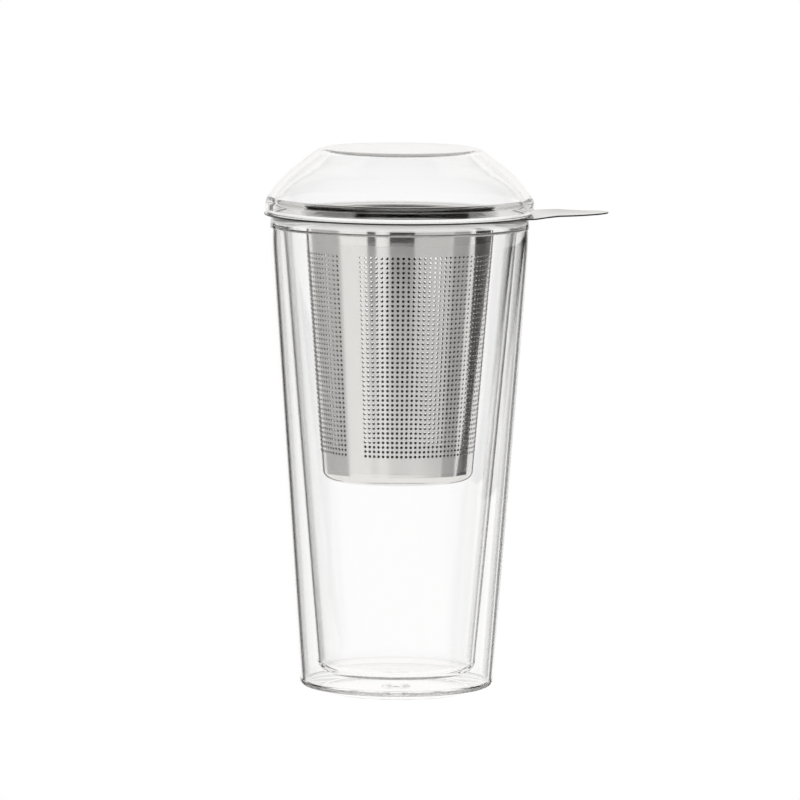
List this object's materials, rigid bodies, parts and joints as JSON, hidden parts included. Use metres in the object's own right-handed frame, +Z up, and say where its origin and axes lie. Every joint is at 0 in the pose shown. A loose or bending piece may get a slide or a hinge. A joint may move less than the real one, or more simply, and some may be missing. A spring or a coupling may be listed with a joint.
{
  "type": "tea tumbler with infuser and lid",
  "caption": "Tall tapered double-walled glass tumbler with a hanging perforated steel infuser, flat finger tab and a loose domed glass lid.",
  "frame": {"origin": "centre of the flat face that the tumbler stands on, on the tumbler's axis", "axes": "+Z up along the tumbler's axis, +X towards the infuser's finger tab"},
  "size_m": [0.1142, 0.09, 0.1813],
  "materials": {
    "clear_glass": "clear borosilicate, fire polished",
    "lid_glass": "clear borosilicate, fire polished",
    "stainless_steel": "thin polished sheet"
  },
  "bodies": {
    "cup": {"outer_wall": "clear_glass", "inner_liner": "clear_glass"},
    "infuser": {"infuser_flange": "stainless_steel", "infuser_sleeve": "stainless_steel", "infuser_floor": "stainless_steel"},
    "lid": {"lid": "lid_glass"}
  },
  "joints": [
    {"name": "infuser_lift", "type": "slide", "parent": "cup", "child": "infuser", "axis": [0, 0, 1], "range_m": [0, 0.11]},
    {"name": "lid_lift", "type": "slide", "parent": "infuser", "child": "lid", "axis": [0, 0, 1], "range_m": [0, 0.05]}
  ]
}
